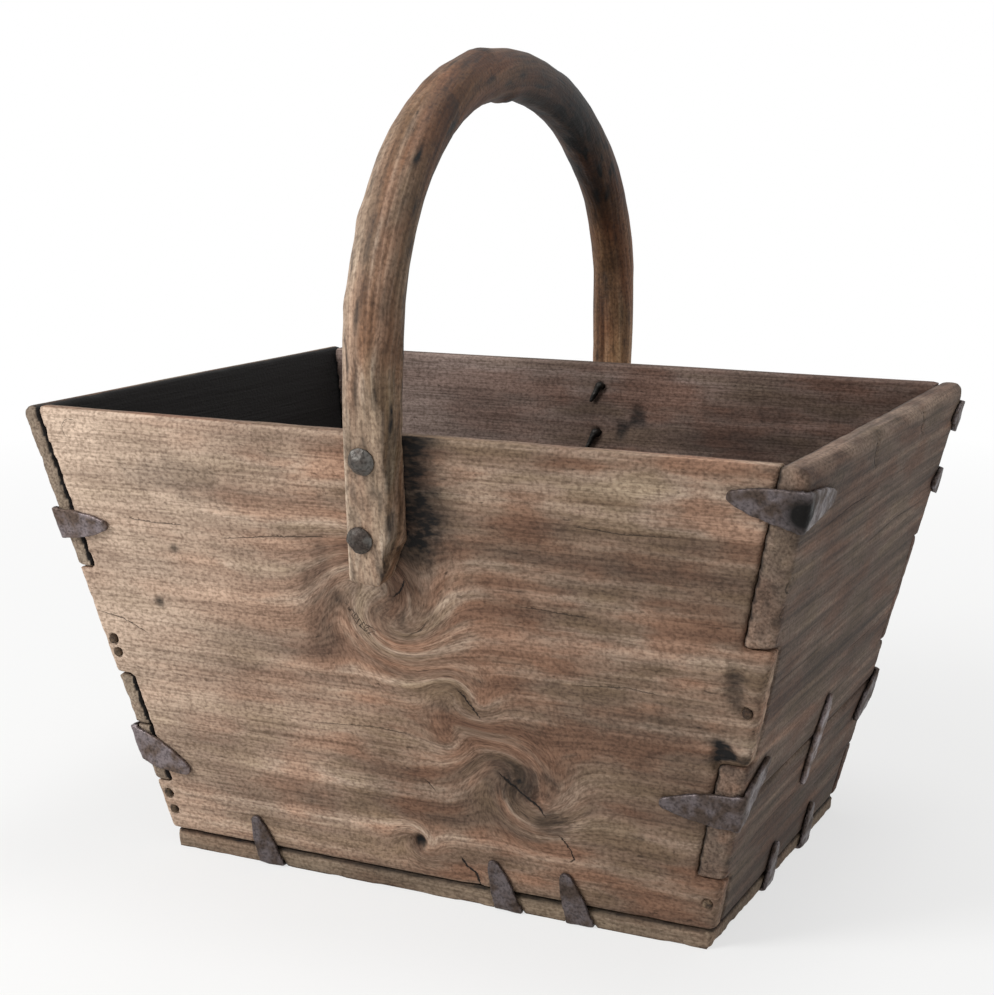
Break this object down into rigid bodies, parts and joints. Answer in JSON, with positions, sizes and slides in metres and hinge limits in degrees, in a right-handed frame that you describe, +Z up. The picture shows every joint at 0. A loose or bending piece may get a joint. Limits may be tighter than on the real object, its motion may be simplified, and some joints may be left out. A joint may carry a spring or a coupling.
{
  "type": "plank garden basket",
  "caption": "Tapered plank basket with finger-jointed corners, forged iron staples and a nailed bent-branch carrying handle.",
  "frame": {"origin": "centre of the flat underside of the base board", "axes": "+Z up, X along the length of the basket, -Y out of the front board, the one under the thicker foot of the handle"},
  "size_m": [0.4487, 0.3762, 0.459],
  "materials": {
    "board_wood": "weathered, dry, fine grain along the board",
    "end_wood": "weathered, grey-brown",
    "base_wood": "weathered, dusty",
    "branch_wood": "hand-worn, satin, shaved facets at the feet",
    "nail_iron": "forged, dark",
    "staple_iron": "forged, dull, purple-grey",
    "peg_wood": "dry end grain"
  },
  "bodies": {
    "root": {"front_board": "board_wood", "back_board": "board_wood", "left_end_upper_plank": "end_wood", "left_end_lower_plank": "end_wood", "right_end_upper_plank": "end_wood", "right_end_lower_plank": "end_wood", "base_board": "base_wood", "handle": "branch_wood", "front_upper_handle_nail": "nail_iron", "front_lower_handle_nail": "nail_iron", "back_upper_handle_nail": "nail_iron", "back_lower_handle_nail": "nail_iron", "front_left_upper_staple": "staple_iron", "front_left_lower_staple": "staple_iron", "front_right_upper_staple": "staple_iron", "front_right_lower_staple": "staple_iron", "back_right_upper_staple": "staple_iron", "back_right_middle_staple": "staple_iron", "back_right_lower_staple": "staple_iron", "back_left_upper_staple": "staple_iron", "back_left_lower_staple": "staple_iron", "right_seam_staple": "staple_iron", "left_seam_staple": "staple_iron", "front_base_staples": "staple_iron", "back_base_staples": "staple_iron", "right_base_staples": "staple_iron", "left_base_staples": "staple_iron", "front_left_pegs": "peg_wood", "front_right_pegs": "peg_wood", "back_left_pegs": "peg_wood", "back_right_pegs": "peg_wood"}
  },
  "joints": []
}
